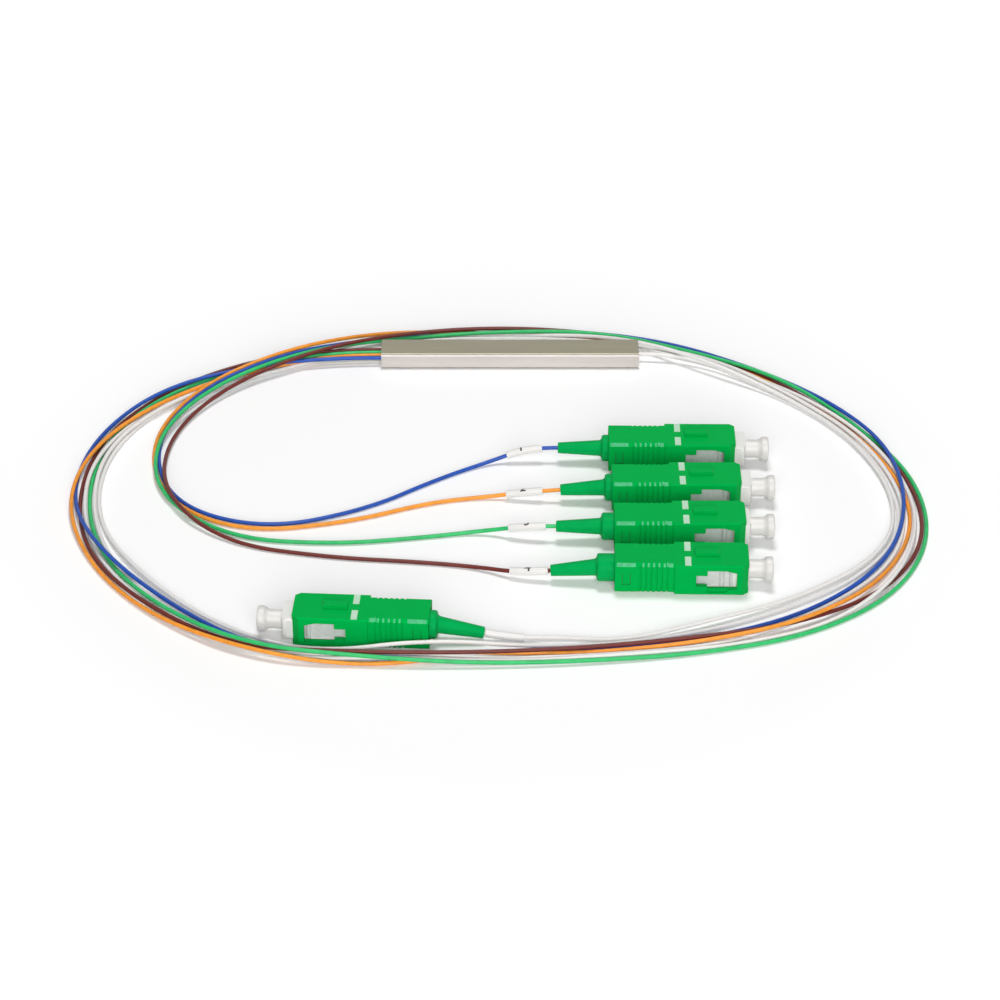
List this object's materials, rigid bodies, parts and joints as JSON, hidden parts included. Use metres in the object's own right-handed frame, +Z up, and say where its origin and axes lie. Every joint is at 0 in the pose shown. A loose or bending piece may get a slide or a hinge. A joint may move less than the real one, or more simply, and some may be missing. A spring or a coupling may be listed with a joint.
{
  "type": "fibre optic splitter",
  "caption": "Planar lightwave fibre splitter in a slim metal tube, with coiled loose-tube pigtails that end in push-pull plugs with dust caps.",
  "frame": {"origin": "centre of the metal tube's underside", "axes": "+X along the tube from its output end to its input end, +Z up"},
  "size_m": [0.1868, 0.1302, 0.0082],
  "materials": {
    "tube_metal": "satin",
    "sealant": "matte",
    "optical_glass": "polished",
    "silicone_bed": "soft",
    "bare_fibre": "polished",
    "green_plastic": "moulded, semi-gloss",
    "green_rubber": "moulded, satin",
    "white_plastic": "moulded, slightly translucent",
    "ceramic": "polished zirconia",
    "plated_metal": "nickel plated",
    "spring_steel": "drawn",
    "blue_tube": "satin",
    "orange_tube": "satin",
    "green_tube": "satin",
    "brown_tube": "satin",
    "white_tube": "satin",
    "sleeve_white": "satin"
  },
  "bodies": {
    "device": {"splitter_tube": "tube_metal", "end_seal_output": "sealant", "end_seal_input": "sealant", "plc_chip": "optical_glass", "output_fibre_array": "optical_glass", "input_fibre_array": "optical_glass", "bedding": "silicone_bed", "output_ribbon": "bare_fibre", "input_bare_fibre": "bare_fibre", "plug_frame_1": "white_plastic", "stop_ring_1": "plated_metal", "boot_1": "green_rubber", "number_sleeve_1": "sleeve_white", "pigtail_1": "blue_tube", "ferrule_spring_1": "spring_steel", "plug_frame_2": "white_plastic", "stop_ring_2": "plated_metal", "boot_2": "green_rubber", "number_sleeve_2": "sleeve_white", "pigtail_2": "orange_tube", "ferrule_spring_2": "spring_steel", "plug_frame_3": "white_plastic", "stop_ring_3": "plated_metal", "boot_3": "green_rubber", "number_sleeve_3": "sleeve_white", "pigtail_3": "green_tube", "ferrule_spring_3": "spring_steel", "plug_frame_4": "white_plastic", "stop_ring_4": "plated_metal", "boot_4": "green_rubber", "number_sleeve_4": "sleeve_white", "pigtail_4": "brown_tube", "ferrule_spring_4": "spring_steel", "plug_frame_input": "white_plastic", "stop_ring_input": "plated_metal", "boot_input": "green_rubber", "number_sleeve_input": "sleeve_white", "pigtail_input": "white_tube", "ferrule_spring_input": "spring_steel"},
    "grip_1": {"grip_housing_1": "green_plastic"},
    "ferrule_1": {"ferrule_1": "ceramic", "ferrule_flange_1": "plated_metal"},
    "cap_1": {"dust_cap_1": "white_plastic"},
    "grip_2": {"grip_housing_2": "green_plastic"},
    "ferrule_2": {"ferrule_2": "ceramic", "ferrule_flange_2": "plated_metal"},
    "cap_2": {"dust_cap_2": "white_plastic"},
    "grip_3": {"grip_housing_3": "green_plastic"},
    "ferrule_3": {"ferrule_3": "ceramic", "ferrule_flange_3": "plated_metal"},
    "cap_3": {"dust_cap_3": "white_plastic"},
    "grip_4": {"grip_housing_4": "green_plastic"},
    "ferrule_4": {"ferrule_4": "ceramic", "ferrule_flange_4": "plated_metal"},
    "cap_4": {"dust_cap_4": "white_plastic"},
    "grip_input": {"grip_housing_input": "green_plastic"},
    "ferrule_input": {"ferrule_input": "ceramic", "ferrule_flange_input": "plated_metal"},
    "cap_input": {"dust_cap_input": "white_plastic"}
  },
  "joints": [
    {"name": "grip_slide_1", "type": "slide", "parent": "device", "child": "grip_1", "axis": [1, -0.008, 0], "range_m": [0, 0.00225]},
    {"name": "ferrule_float_1", "type": "slide", "parent": "device", "child": "ferrule_1", "axis": [1, -0.008, 0], "range_m": [-0.0012, 0], "stiffness_N_per_m": 5000, "springref_m": 0.001, "deforming": ["ferrule_spring_1"]},
    {"name": "cap_pull_1", "type": "slide", "parent": "device", "child": "cap_1", "axis": [1, -0.008, 0], "range_m": [0, 0.0085]},
    {"name": "grip_slide_2", "type": "slide", "parent": "device", "child": "grip_2", "axis": [1, 0, 0], "range_m": [0, 0.00225]},
    {"name": "ferrule_float_2", "type": "slide", "parent": "device", "child": "ferrule_2", "axis": [1, 0, 0], "range_m": [-0.0012, 0], "stiffness_N_per_m": 5000, "springref_m": 0.001, "deforming": ["ferrule_spring_2"]},
    {"name": "cap_pull_2", "type": "slide", "parent": "device", "child": "cap_2", "axis": [1, 0, 0], "range_m": [0, 0.0085]},
    {"name": "grip_slide_3", "type": "slide", "parent": "device", "child": "grip_3", "axis": [1, 0, 0], "range_m": [-0.0012, 0.00105]},
    {"name": "ferrule_float_3", "type": "slide", "parent": "device", "child": "ferrule_3", "axis": [1, 0, 0], "range_m": [-0.0012, 0], "stiffness_N_per_m": 5000, "springref_m": 0.001, "deforming": ["ferrule_spring_3"]},
    {"name": "cap_pull_3", "type": "slide", "parent": "device", "child": "cap_3", "axis": [1, 0, 0], "range_m": [0, 0.0085]},
    {"name": "grip_slide_4", "type": "slide", "parent": "device", "child": "grip_4", "axis": [0.9998, -0.019, 0], "range_m": [-0.00225, 0]},
    {"name": "ferrule_float_4", "type": "slide", "parent": "device", "child": "ferrule_4", "axis": [0.9998, -0.019, 0], "range_m": [-0.0012, 0], "stiffness_N_per_m": 5000, "springref_m": 0.001, "deforming": ["ferrule_spring_4"]},
    {"name": "cap_pull_4", "type": "slide", "parent": "device", "child": "cap_4", "axis": [0.9998, -0.019, 0], "range_m": [0, 0.0085]},
    {"name": "grip_slide_input", "type": "slide", "parent": "device", "child": "grip_input", "axis": [-0.9983, 0.0586, 0], "range_m": [0, 0.00225]},
    {"name": "ferrule_float_input", "type": "slide", "parent": "device", "child": "ferrule_input", "axis": [-0.9983, 0.0586, 0], "range_m": [-0.0012, 0], "stiffness_N_per_m": 5000, "springref_m": 0.001, "deforming": ["ferrule_spring_input"]},
    {"name": "cap_pull_input", "type": "slide", "parent": "device", "child": "cap_input", "axis": [-0.9983, 0.0586, 0], "range_m": [0, 0.0085]}
  ]
}
